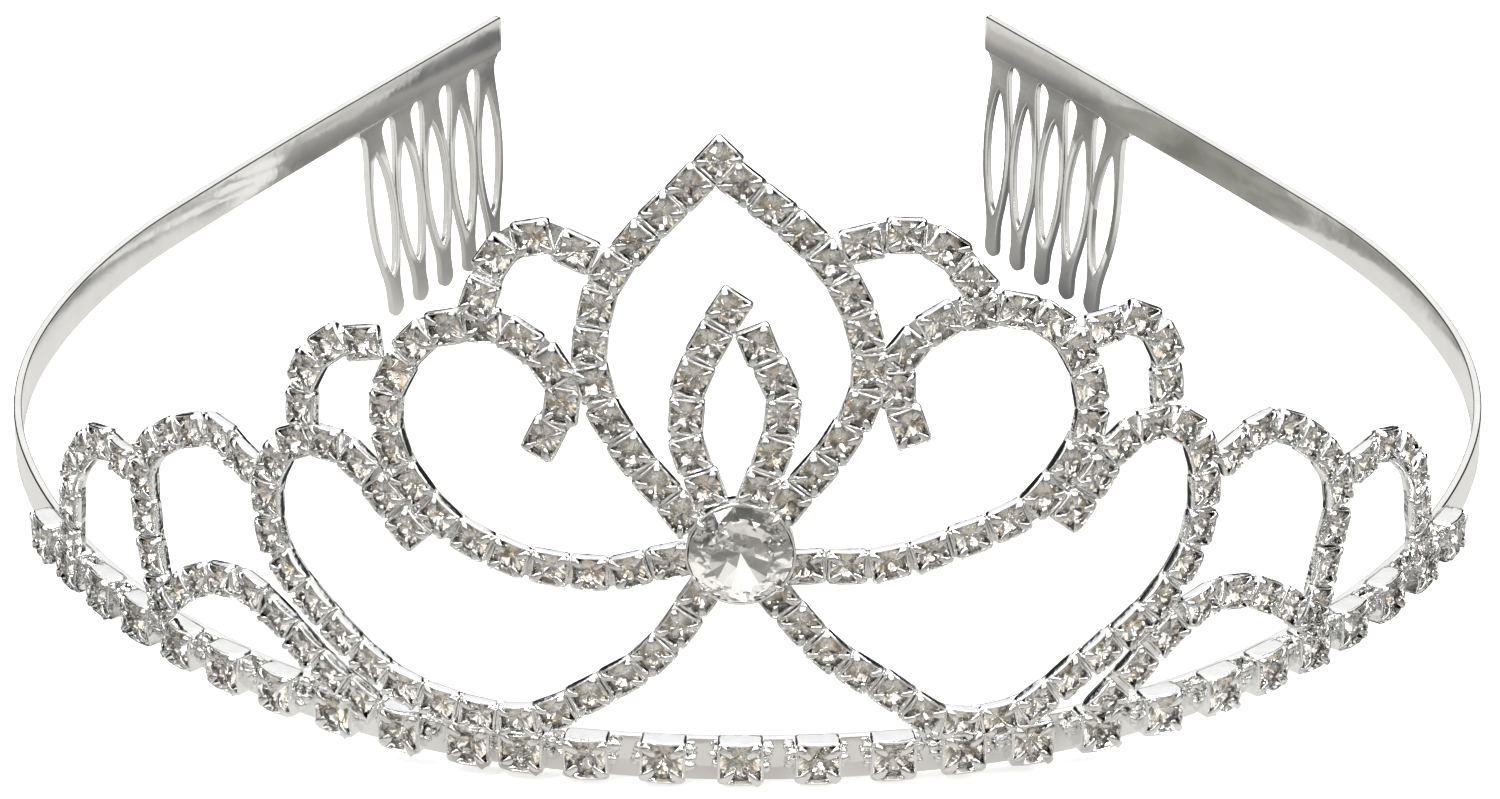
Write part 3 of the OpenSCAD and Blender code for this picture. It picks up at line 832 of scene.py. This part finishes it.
su.operation = "SUBTRACT"
su.inputs[1].default_value = 0.17
nt.links.new(ad.outputs[0], su.inputs[0])
nt.links.new(su.outputs[0], cr_.inputs["Fac"])
sx = nt.nodes.new("ShaderNodeSeparateXYZ")
nt.links.new(tc.outputs["Object"], sx.inputs[0])
# behind the ring the painted shade is lighter on the left and darker on the right, crosswise to the combs that show
# it
acr = nt.nodes.new("ShaderNodeMapRange")
acr.inputs["From Min"].default_value = -0.045
acr.inputs["From Max"].default_value = 0.045
nt.links.new(sx.outputs["X"], acr.inputs["Value"])
behind_ring_painted_shade = nt.nodes.new("ShaderNodeValToRGB")
ce = behind_ring_painted_shade.color_ramp.elements
ce[0].position, ce[0].color = 0.10, (0.53, 0.52, 0.48, 1)
ce[1].position, ce[1].color = 0.86, (0.17, 0.172, 0.175, 1)
for pos, val in ((0.20, 0.36), (0.42, 0.21), (0.72, 0.37)):
    x = ce.new(pos)
    x.color = (val, val * 0.985, val * 0.95, 1)
nt.links.new(acr.outputs[0], behind_ring_painted_shade.inputs["Fac"])
cmix = nt.nodes.new("ShaderNodeMix")
cmix.data_type = "RGBA"
cmix.inputs[7].default_value = (0.80, 0.79, 0.77, 1)
nt.links.new(cr_.outputs["Color"], cmix.inputs[0])
nt.links.new(behind_ring_painted_shade.outputs["Color"], cmix.inputs[6])
# painted reflection for the strip's front face: in front of the ring the card is a blotchy mid grey
fr = nt.nodes.new("ShaderNodeMapRange")
fr.interpolation_type = "SMOOTHSTEP"
fr.inputs["From Min"].default_value = -0.068
fr.inputs["From Max"].default_value = -0.077
nt.links.new(sx.outputs["Y"], fr.inputs["Value"])
front_painted_reflection = nt.nodes.new("ShaderNodeMix")
front_painted_reflection.data_type = "RGBA"
fn = nt.nodes.new("ShaderNodeTexNoise")
fn.inputs["Scale"].default_value = 55.0
fn.inputs["Detail"].default_value = 2.0
nt.links.new(tc.outputs["Object"], fn.inputs["Vector"])
fc = nt.nodes.new("ShaderNodeValToRGB")
fc.color_ramp.elements[0].position, fc.color_ramp.elements[0].color = 0.40, (0.40, 0.385, 0.35, 1)
fc.color_ramp.elements[1].position, fc.color_ramp.elements[1].color = 0.60, (0.68, 0.665, 0.63, 1)
nt.links.new(fn.outputs["Fac"], fc.inputs["Fac"])
nt.links.new(fc.outputs["Color"], front_painted_reflection.inputs[7])
nt.links.new(fr.outputs[0], front_painted_reflection.inputs[0])
# painted shade: a dim, nearly black pool inside the front of the ring
pm = nt.nodes.new("ShaderNodeMapping")
pm.vector_type = "TEXTURE"
pm.inputs["Location"].default_value = (0.0, -0.030, 0.0)
pm.inputs["Scale"].default_value = (0.046, 0.036, 1.0)
nt.links.new(tc.outputs["Object"], pm.inputs["Vector"])
pl = nt.nodes.new("ShaderNodeVectorMath")
pl.operation = "LENGTH"
nt.links.new(pm.outputs[0], pl.inputs[0])
pr_ = nt.nodes.new("ShaderNodeMapRange")
pr_.interpolation_type = "SMOOTHSTEP"
pr_.inputs["From Min"].default_value = 0.75
pr_.inputs["From Max"].default_value = 1.05
pr_.inputs["To Min"].default_value = 1.0
pr_.inputs["To Max"].default_value = 0.0
nt.links.new(pl.outputs["Value"], pr_.inputs["Value"])
painted_shade_pool = nt.nodes.new("ShaderNodeMix")
painted_shade_pool.data_type = "RGBA"
painted_shade_pool.inputs[7].default_value = (0.04, 0.04, 0.038, 1)
nt.links.new(pr_.outputs[0], painted_shade_pool.inputs[0])
nt.links.new(cmix.outputs[2], painted_shade_pool.inputs[6])
nt.links.new(painted_shade_pool.outputs[2], front_painted_reflection.inputs[6])
# painted reflections and painted shade: dark and light patches beside the two ends of the front
ab = nt.nodes.new("ShaderNodeMath")
ab.operation = "ABSOLUTE"
nt.links.new(sx.outputs["X"], ab.inputs[0])
sd = nt.nodes.new("ShaderNodeMapRange")
sd.interpolation_type = "SMOOTHSTEP"
sd.inputs["From Min"].default_value = 0.044
sd.inputs["From Max"].default_value = 0.058
nt.links.new(ab.outputs[0], sd.inputs["Value"])
pn = nt.nodes.new("ShaderNodeTexNoise")
pn.inputs["Scale"].default_value = 170.0
pn.inputs["Detail"].default_value = 1.0
nt.links.new(tc.outputs["Object"], pn.inputs["Vector"])
pc = nt.nodes.new("ShaderNodeValToRGB")
pc.color_ramp.elements[0].position, pc.color_ramp.elements[0].color = 0.49, (0.06, 0.06, 0.055, 1)
pc.color_ramp.elements[1].position, pc.color_ramp.elements[1].color = 0.56, (0.86, 0.85, 0.83, 1)
nt.links.new(pn.outputs["Fac"], pc.inputs["Fac"])
yd = nt.nodes.new("ShaderNodeMapRange")
yd.interpolation_type = "SMOOTHSTEP"
yd.inputs["From Min"].default_value = -0.020
yd.inputs["From Max"].default_value = -0.034
nt.links.new(sx.outputs["Y"], yd.inputs["Value"])
both = nt.nodes.new("ShaderNodeMath")
both.operation = "MULTIPLY"
nt.links.new(sd.outputs[0], both.inputs[0])
nt.links.new(yd.outputs[0], both.inputs[1])
end_patches_painted_reflection = nt.nodes.new("ShaderNodeMix")
end_patches_painted_reflection.data_type = "RGBA"
nt.links.new(both.outputs[0], end_patches_painted_reflection.inputs[0])
nt.links.new(front_painted_reflection.outputs[2], end_patches_painted_reflection.inputs[6])
nt.links.new(pc.outputs["Color"], end_patches_painted_reflection.inputs[7])
# painted reflection: a lighter band just before the front, which the strip shows between its cups
bn = nt.nodes.new("ShaderNodeMath")
bn.operation = "COMPARE"
bn.inputs[1].default_value = -0.0795
bn.inputs[2].default_value = 0.0030
nt.links.new(sx.outputs["Y"], bn.inputs[0])
front_band_painted_reflection = nt.nodes.new("ShaderNodeMix")
front_band_painted_reflection.data_type = "RGBA"
front_band_painted_reflection.inputs[7].default_value = (0.74, 0.72, 0.68, 1)
nt.links.new(bn.outputs[0], front_band_painted_reflection.inputs[0])
nt.links.new(end_patches_painted_reflection.outputs[2], front_band_painted_reflection.inputs[6])
nt.links.new(front_band_painted_reflection.outputs[2], em.inputs["Color"])
mesh.materials.append(cm_)

# two pale glowing sheets close in front of the combs' teeth, seen only in reflections: painted reflections on the
# teeth
for g in (-1, 1):
    ca, cb = np.array([-g * 0.55, 0.835, 0.0]), np.array([-g * 0.30, 0.19, 0.93])
    cc = np.array([g * 0.0235, 0.0715, 0.0055])
    mesh = bpy.data.meshes.new("comb_reflection_sheet")
    mesh.from_pydata([tuple(cc + ca * i * 0.0115 + cb * j * 0.0085) for i, j in ((-1, -0.6), (1, -0.6), (1, 1), (-1, 1))], [], [(0, 1, 2, 3)])
    pale = bpy.data.objects.new("comb_reflection_sheet", mesh)
    sc.collection.objects.link(pale)
    pale.visible_camera = False
    pale.visible_diffuse = False
    pale.visible_shadow = False
    cl = bpy.data.materials.new("painted_comb_reflection")
    cl.use_nodes = True
    nt = cl.node_tree
    nt.nodes.clear()
    out = nt.nodes.new("ShaderNodeOutputMaterial")
    em = nt.nodes.new("ShaderNodeEmission")
    tc = nt.nodes.new("ShaderNodeTexCoord")
    nz = nt.nodes.new("ShaderNodeTexNoise")
    nz.inputs["Scale"].default_value = 120.0
    nt.links.new(tc.outputs["Object"], nz.inputs["Vector"])
    cr_ = nt.nodes.new("ShaderNodeValToRGB")
    cr_.color_ramp.elements[0].position, cr_.color_ramp.elements[0].color = 0.36, (0.42, 0.415, 0.395, 1)
    cr_.color_ramp.elements[1].position, cr_.color_ramp.elements[1].color = 0.58, (0.92, 0.92, 0.90, 1)
    nt.links.new(nz.outputs["Fac"], cr_.inputs["Fac"])
    nt.links.new(cr_.outputs["Color"], em.inputs["Color"])
    nt.links.new(em.outputs[0], out.inputs[0])
    mesh.materials.append(cl)

# a small bright glowing sheet inside the ring, seen only in reflections: painted highlight streaks in the left side
# of the strip
ca, cb = np.array([-0.45, 0.893, 0.0]), np.array([0.322, 0.162, 0.933])
cc = np.array([-0.030, 0.049, 0.0120])
mesh = bpy.data.meshes.new("cloth")
mesh.from_pydata([tuple(cc + ca * i * 0.0105 + cb * j * 0.0060) for i, j in ((-1, -1), (1, -1), (1, 1), (-1, 1))], [], [(0, 1, 2, 3)])
cloth = bpy.data.objects.new("cloth", mesh)
sc.collection.objects.link(cloth)
cloth.visible_camera = False
cloth.visible_diffuse = False
cloth.visible_shadow = False
cl = bpy.data.materials.new("painted_strip_streaks")
cl.use_nodes = True
nt = cl.node_tree
nt.nodes.clear()
out = nt.nodes.new("ShaderNodeOutputMaterial")
em = nt.nodes.new("ShaderNodeEmission")
em.inputs["Color"].default_value = (1, 0.99, 0.97, 1)
em.inputs["Strength"].default_value = 0.97
tr = nt.nodes.new("ShaderNodeBsdfTransparent")
ms = nt.nodes.new("ShaderNodeMixShader")
tc = nt.nodes.new("ShaderNodeTexCoord")
mp = nt.nodes.new("ShaderNodeMapping")
mp.inputs["Rotation"].default_value = (0.0, 0.0, math.radians(-63))
mp.inputs["Scale"].default_value = (1.0, 2.2, 3.2)
nt.links.new(tc.outputs["Object"], mp.inputs["Vector"])
nz = nt.nodes.new("ShaderNodeTexNoise")
nz.inputs["Scale"].default_value = 110.0
nz.inputs["Detail"].default_value = 2.0
nt.links.new(mp.outputs[0], nz.inputs["Vector"])
# full in the middle, open towards its edge
gap = nt.nodes.new("ShaderNodeVectorMath")
gap.operation = "DISTANCE"
gap.inputs[1].default_value = tuple(cc)
nt.links.new(tc.outputs["Object"], gap.inputs[0])
far = nt.nodes.new("ShaderNodeMapRange")
far.inputs["From Min"].default_value = 0.0035
far.inputs["From Max"].default_value = 0.0105
far.inputs["To Min"].default_value = 0.10
far.inputs["To Max"].default_value = -0.30
nt.links.new(gap.outputs["Value"], far.inputs["Value"])
ad = nt.nodes.new("ShaderNodeMath")
ad.operation = "ADD"
nt.links.new(nz.outputs["Fac"], ad.inputs[0])
nt.links.new(far.outputs[0], ad.inputs[1])
st = nt.nodes.new("ShaderNodeMapRange")
st.interpolation_type = "SMOOTHSTEP"
st.inputs["From Min"].default_value = 0.50
st.inputs["From Max"].default_value = 0.62
nt.links.new(ad.outputs[0], st.inputs["Value"])
nt.links.new(st.outputs[0], ms.inputs[0])
nt.links.new(tr.outputs[0], ms.inputs[1])
nt.links.new(em.outputs[0], ms.inputs[2])
nt.links.new(ms.outputs[0], out.inputs[0])
mesh.materials.append(cl)

# and a dim grey glowing sheet on the right, seen only in reflections: painted shade where the strip stays darker
ca, cb = np.array([0.45, 0.893, 0.0]), np.array([-0.322, 0.162, 0.933])
cc = np.array([0.030, 0.049, 0.0120]) + ca * 0.006
mesh = bpy.data.meshes.new("strip_shade_sheet")
mesh.from_pydata([tuple(cc + ca * i * 0.0155 + cb * j * 0.0070) for i, j in ((-1, -1), (-1, 1.6), (1, 1.6), (1, -1))], [], [(0, 1, 2, 3)])
grey = bpy.data.objects.new("strip_shade_sheet", mesh)
sc.collection.objects.link(grey)
grey.visible_camera = False
grey.visible_diffuse = False
grey.visible_shadow = False
cl = bpy.data.materials.new("painted_strip_shade")
cl.use_nodes = True
nt = cl.node_tree
nt.nodes.clear()
out = nt.nodes.new("ShaderNodeOutputMaterial")
em = nt.nodes.new("ShaderNodeEmission")
tr = nt.nodes.new("ShaderNodeBsdfTransparent")
ms = nt.nodes.new("ShaderNodeMixShader")
tc = nt.nodes.new("ShaderNodeTexCoord")
nz = nt.nodes.new("ShaderNodeTexNoise")
nz.inputs["Scale"].default_value = 160.0
nt.links.new(tc.outputs["Object"], nz.inputs["Vector"])
gr = nt.nodes.new("ShaderNodeValToRGB")
gr.color_ramp.elements[0].position, gr.color_ramp.elements[0].color = 0.38, (0.22, 0.22, 0.195, 1)
gr.color_ramp.elements[1].position, gr.color_ramp.elements[1].color = 0.62, (0.38, 0.38, 0.345, 1)
nt.links.new(nz.outputs["Fac"], gr.inputs["Fac"])
nt.links.new(gr.outputs["Color"], em.inputs["Color"])
gap = nt.nodes.new("ShaderNodeVectorMath")
gap.operation = "DISTANCE"
gap.inputs[1].default_value = tuple(cc)
nt.links.new(tc.outputs["Object"], gap.inputs[0])
far = nt.nodes.new("ShaderNodeMapRange")
far.interpolation_type = "SMOOTHSTEP"
far.inputs["From Min"].default_value = 0.0110
far.inputs["From Max"].default_value = 0.0155
far.inputs["To Min"].default_value = 1.0
far.inputs["To Max"].default_value = 0.0
nt.links.new(gap.outputs["Value"], far.inputs["Value"])
nt.links.new(far.outputs[0], ms.inputs[0])
nt.links.new(tr.outputs[0], ms.inputs[1])
nt.links.new(em.outputs[0], ms.inputs[2])
nt.links.new(ms.outputs[0], out.inputs[0])
mesh.materials.append(cl)

world = bpy.data.worlds.new("studio")
sc.world = world
world.use_nodes = True
nt = world.node_tree
bg = nt.nodes["Background"]
tc = nt.nodes.new("ShaderNodeTexCoord")
sep = nt.nodes.new("ShaderNodeSeparateXYZ")
nt.links.new(tc.outputs["Generated"], sep.inputs[0])
ramp = nt.nodes.new("ShaderNodeValToRGB")
e = ramp.color_ramp.elements
# dark room at the horizon, bright cloth above
e[0].position, e[0].color = 0.0, (0.9, 0.9, 0.9, 1)
e[1].position, e[1].color = 1.0, (1.02, 1.02, 1.02, 1)
for pos, val in ((0.30, 0.04), (0.50, 0.02), (0.615, 0.03), (0.64, 0.15), (0.675, 0.90), (0.80, 1.0)):
    x = e.new(pos)
    x.color = (val, val, val, 1)
ax = nt.nodes.new("ShaderNodeMath")
ax.operation = "ABSOLUTE"
nt.links.new(sep.outputs["X"], ax.inputs[0])
side = nt.nodes.new("ShaderNodeMapRange")
side.interpolation_type = "SMOOTHSTEP"
side.inputs["From Min"].default_value = 0.33
side.inputs["From Max"].default_value = 0.50
side.inputs["To Max"].default_value = 0.32
nt.links.new(ax.outputs[0], side.inputs["Value"])
back = nt.nodes.new("ShaderNodeMapRange")
back.inputs["From Min"].default_value = -0.25
back.inputs["From Max"].default_value = 0.05
nt.links.new(sep.outputs["Y"], back.inputs["Value"])
low = nt.nodes.new("ShaderNodeMath")
low.operation = "MULTIPLY"
nt.links.new(side.outputs[0], low.inputs[0])
nt.links.new(back.outputs[0], low.inputs[1])
zz = nt.nodes.new("ShaderNodeMath")
zz.operation = "SUBTRACT"
nt.links.new(sep.outputs["Z"], zz.inputs[0])
nt.links.new(low.outputs[0], zz.inputs[1])
mr = nt.nodes.new("ShaderNodeMapRange")
mr.inputs["From Min"].default_value = -1
mr.inputs["From Max"].default_value = 1
nt.links.new(zz.outputs[0], mr.inputs["Value"])
nt.links.new(mr.outputs[0], ramp.inputs["Fac"])
# the side that the camera stands on is dimmer and patchy
noise = nt.nodes.new("ShaderNodeTexNoise")
noise.inputs["Scale"].default_value = 3.4
noise.inputs["Detail"].default_value = 1.0
nt.links.new(tc.outputs["Generated"], noise.inputs["Vector"])
patch = nt.nodes.new("ShaderNodeValToRGB")
patch.color_ramp.elements[0].position, patch.color_ramp.elements[0].color = 0.36, (0.62, 0.61, 0.585, 1)
patch.color_ramp.elements[1].position, patch.color_ramp.elements[1].color = 0.50, (1.30, 1.285, 1.26, 1)
nt.links.new(noise.outputs["Fac"], patch.inputs["Fac"])
front = nt.nodes.new("ShaderNodeMapRange")
front.inputs["From Min"].default_value = 0.25
front.inputs["From Max"].default_value = -0.15
nt.links.new(sep.outputs["Y"], front.inputs["Value"])
mix = nt.nodes.new("ShaderNodeMix")
mix.data_type = "RGBA"
mix.inputs[6].default_value = (1, 1, 1, 1)
nt.links.new(front.outputs[0], mix.inputs[0])
nt.links.new(patch.outputs["Color"], mix.inputs[7])
mul = nt.nodes.new("ShaderNodeMix")
mul.data_type = "RGBA"
mul.blend_type = "MULTIPLY"
mul.inputs[0].default_value = 1.0
nt.links.new(ramp.outputs["Color"], mul.inputs[6])
nt.links.new(mix.outputs[2], mul.inputs[7])
# its dark side is never quite black there
glow = nt.nodes.new("ShaderNodeMix")
glow.data_type = "RGBA"
glow.inputs[6].default_value = (0, 0, 0, 1)
glow.inputs[7].default_value = (0.19, 0.185, 0.172, 1)
nt.links.new(front.outputs[0], glow.inputs[0])
lit = nt.nodes.new("ShaderNodeMix")
lit.data_type = "RGBA"
lit.blend_type = "ADD"
lit.inputs[0].default_value = 1.0
nt.links.new(mul.outputs[2], lit.inputs[6])
nt.links.new(glow.outputs[2], lit.inputs[7])
lp = nt.nodes.new("ShaderNodeLightPath")
seen = nt.nodes.new("ShaderNodeMix")
seen.data_type = "RGBA"
seen.inputs[7].default_value = (1, 1, 1, 1)
nt.links.new(lp.outputs["Is Camera Ray"], seen.inputs[0])
nt.links.new(lit.outputs[2], seen.inputs[6])
nt.links.new(seen.outputs[2], bg.inputs["Color"])
bg.inputs["Strength"].default_value = 1.0


def area(name, at, size, power, aim=(0, -0.07, 0.03)):
    li = bpy.data.lights.new(name, "AREA")
    li.shape = "RECTANGLE"
    li.size, li.size_y = size
    li.energy = power
    ob = bpy.data.objects.new(name, li)
    sc.collection.objects.link(ob)
    ob.location = at
    ob.rotation_euler = (Vector(aim) - Vector(at)).to_track_quat("-Z", "Y").to_euler()
    return ob


area("key", (-0.55, -0.55, 0.95), (0.35, 0.35), 9.0)
area("fill", (0.75, -0.35, 0.75), (0.25, 0.5), 6.0)
area("top", (0.0, 0.15, 1.2), (0.9, 0.6), 12.0)

# the camera, at the photograph's angle
F_PX, ELEV, YAW, ROLL = 6854.4, 27.144, 0.363, -0.055
TX, TY, DIST = 0.186, -31.305, 600.0
ce, se = math.cos(math.radians(ELEV)), math.sin(math.radians(ELEV))
right, fwd, up = np.array([1.0, 0, 0]), np.array([0, ce, -se]), np.array([0, se, ce])
cr, sr = math.cos(math.radians(ROLL)), math.sin(math.radians(ROLL))
right, up = right * cr - up * sr, right * sr + up * cr
pos = -TX * right - TY * up - DIST * fwd
cy, sy = math.cos(math.radians(-YAW)), math.sin(math.radians(-YAW))
UNYAW = np.array([[cy, -sy, 0], [sy, cy, 0], [0, 0, 1]])
right, fwd, up, pos = (UNYAW @ a for a in (right, fwd, up, pos))
right, fwd, up = (REST @ a for a in (right, fwd, up))
pos = at_rest(pos) * MM
cam_data = bpy.data.cameras.new("camera")
cam_data.sensor_width = 36.0
cam_data.lens = F_PX / 1500 * 36.0
cam_data.clip_start = 0.01
cam_data.clip_end = 20
cam = bpy.data.objects.new("camera", cam_data)
sc.collection.objects.link(cam)
M = Matrix.Identity(4)
for i in range(3):
    M[i][0], M[i][1], M[i][2], M[i][3] = right[i], up[i], -fwd[i], pos[i]
cam.matrix_world = M
sc.camera = cam
sc.view_settings.view_transform = "Standard"
